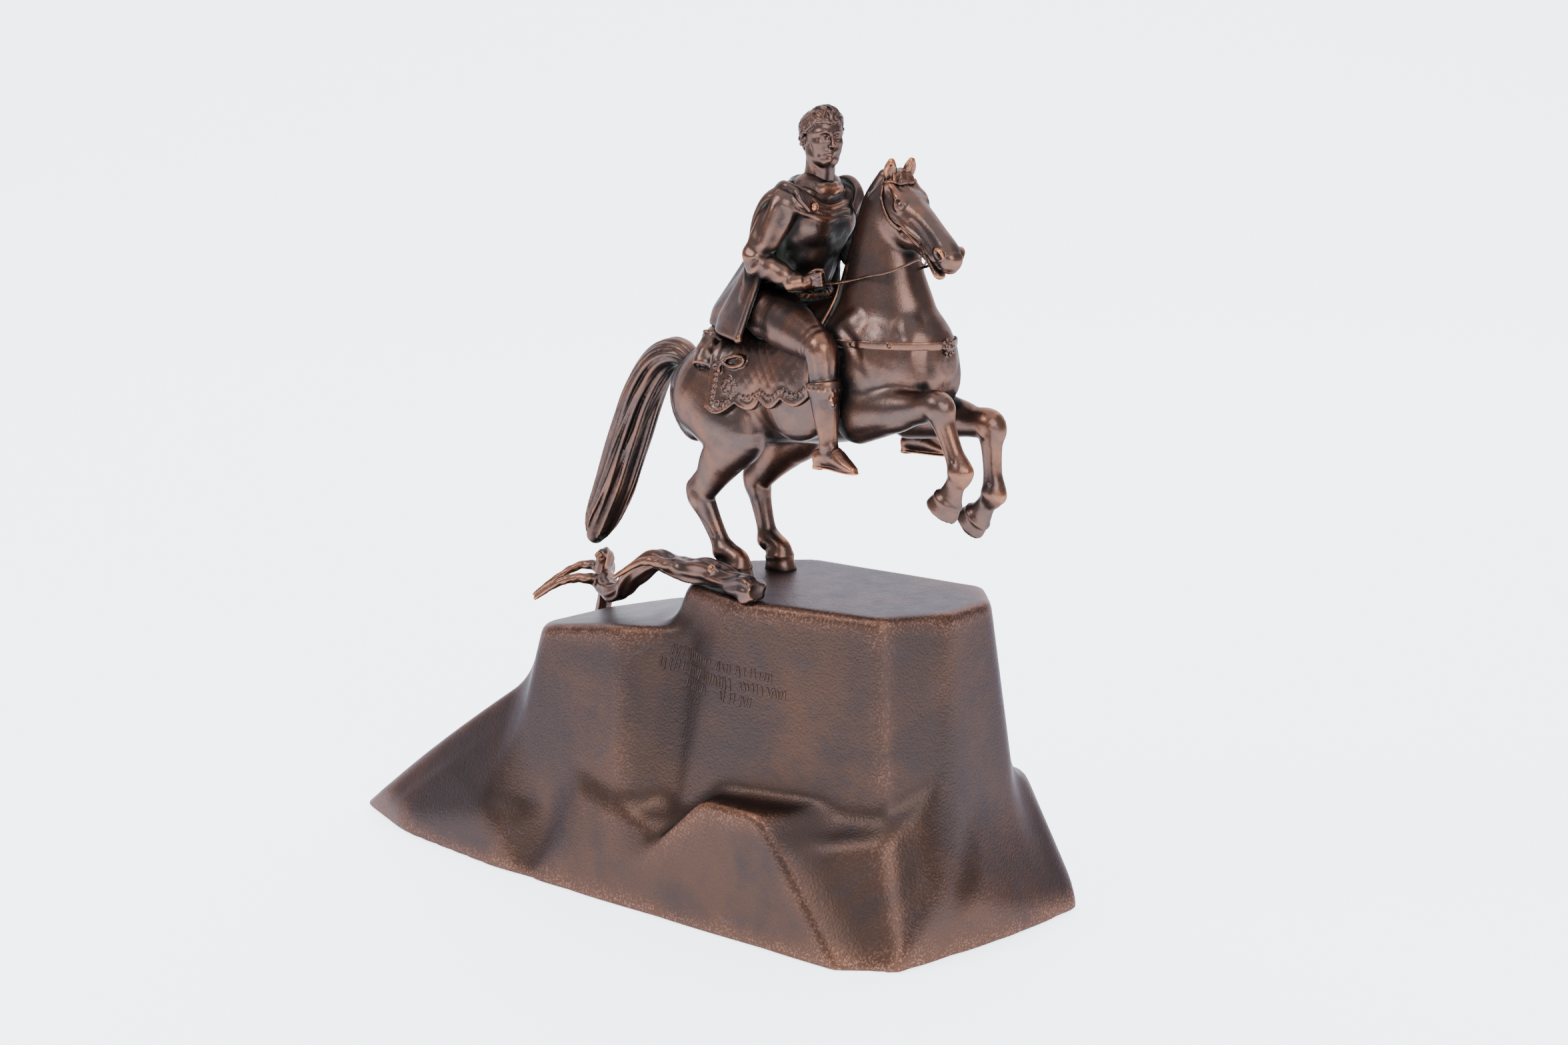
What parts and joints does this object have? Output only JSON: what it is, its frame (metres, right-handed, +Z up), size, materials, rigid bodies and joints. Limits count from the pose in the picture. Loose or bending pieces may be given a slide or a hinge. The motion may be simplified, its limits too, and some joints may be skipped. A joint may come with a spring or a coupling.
{
  "type": "equestrian statuette",
  "caption": "Cast statuette of a cloaked rider on a rearing horse, standing on a plinth cut like a rock with a fallen bough beside the hind hooves.",
  "frame": {"origin": "middle of the plinth's underside, at the centre of the object's outline seen from above", "axes": "+X the way the horse faces, +Y to the horse's left, +Z up"},
  "size_m": [0.3, 0.1168, 0.281],
  "materials": {
    "plinth_bronze": "brown patina, fine sandy skin, semi-matt",
    "figure_bronze": "brown patina, copper wear on the raised forms, satin"
  },
  "bodies": {
    "root": {"plinth": "plinth_bronze", "bough": "figure_bronze", "horse_and_rider": "figure_bronze"}
  },
  "joints": []
}
